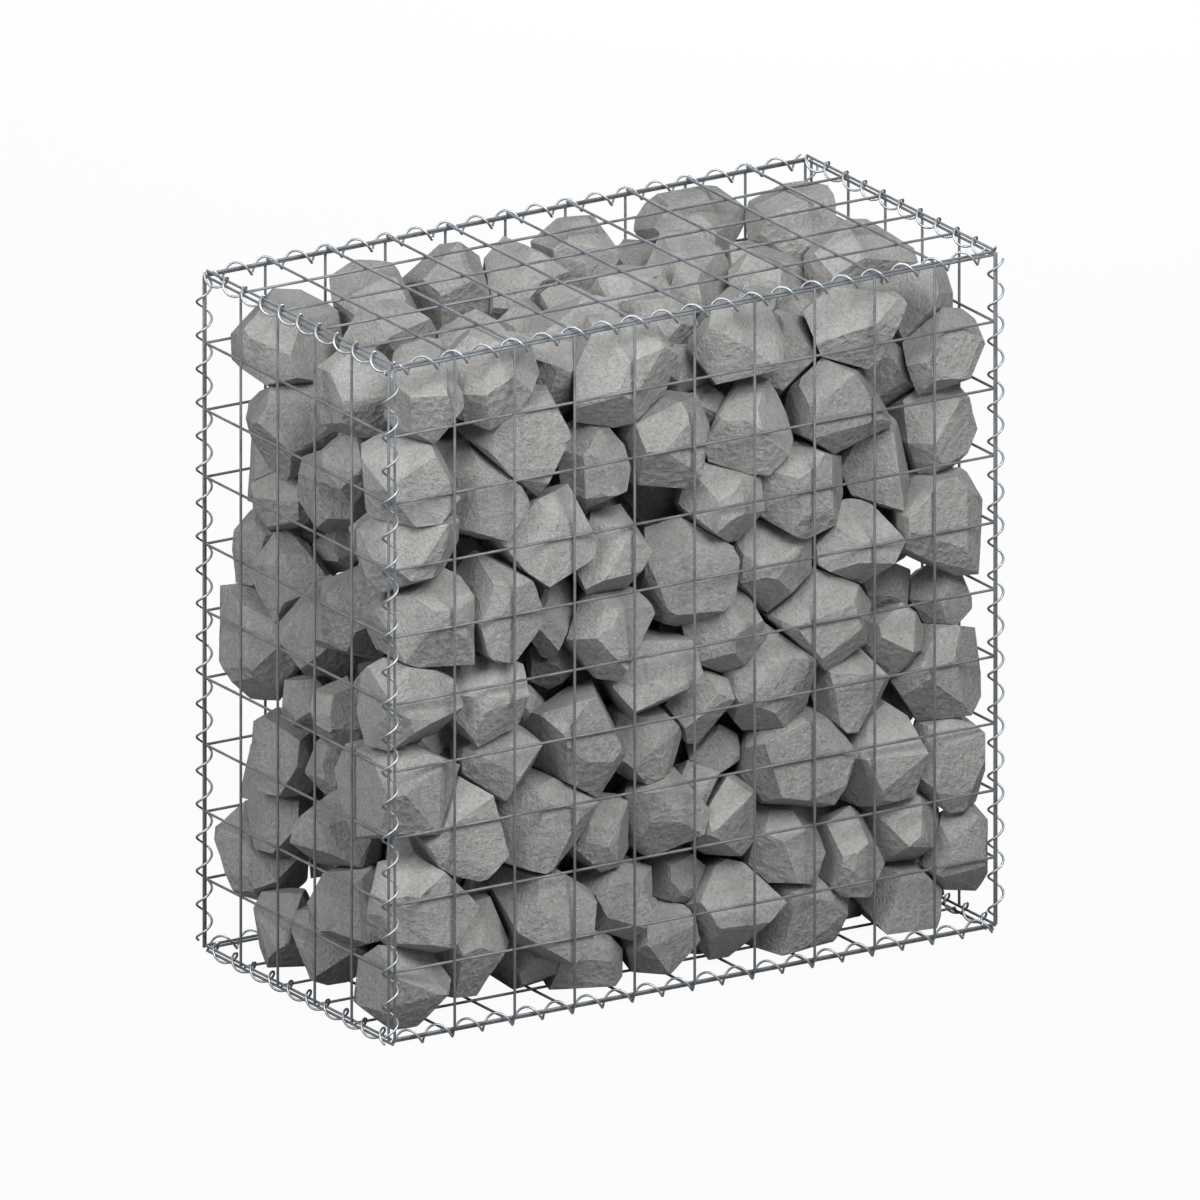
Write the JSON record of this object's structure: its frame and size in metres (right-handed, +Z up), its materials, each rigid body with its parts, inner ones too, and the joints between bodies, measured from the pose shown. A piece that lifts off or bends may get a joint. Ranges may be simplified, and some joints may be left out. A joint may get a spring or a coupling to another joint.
{
  "type": "gabion basket",
  "caption": "Free-standing gabion wall unit: a box of welded wire mesh panels laced along every edge with helical coils and filled with broken grey stone.",
  "frame": {"origin": "centre of the footprint, on the ground under the lower coils", "axes": "+X along the width, +Y from the front to the back, +Z up"},
  "size_m": [1.0344, 0.5282, 1.0272],
  "materials": {
    "mesh_wire": "galvanised",
    "coil_wire": "bright galvanised",
    "stone": "rough broken"
  },
  "bodies": {
    "root": {"back_panel": "mesh_wire", "coil_back_bottom": "coil_wire", "coil_back_left": "coil_wire", "coil_back_right": "coil_wire", "coil_back_top": "coil_wire", "coil_front_bottom": "coil_wire", "coil_front_left": "coil_wire", "coil_front_right": "coil_wire", "coil_front_top": "coil_wire", "coil_left_bottom": "coil_wire", "coil_left_top": "coil_wire", "coil_right_bottom": "coil_wire", "coil_right_top": "coil_wire", "floor_panel": "mesh_wire", "front_panel": "mesh_wire", "left_end_panel": "mesh_wire", "lid_panel": "mesh_wire", "right_end_panel": "mesh_wire", "stone_course_1": "stone", "stone_course_2": "stone", "stone_course_3": "stone", "stone_course_4": "stone", "stone_course_5": "stone", "stone_course_6": "stone", "stone_course_7": "stone", "stone_course_8": "stone"}
  },
  "joints": []
}
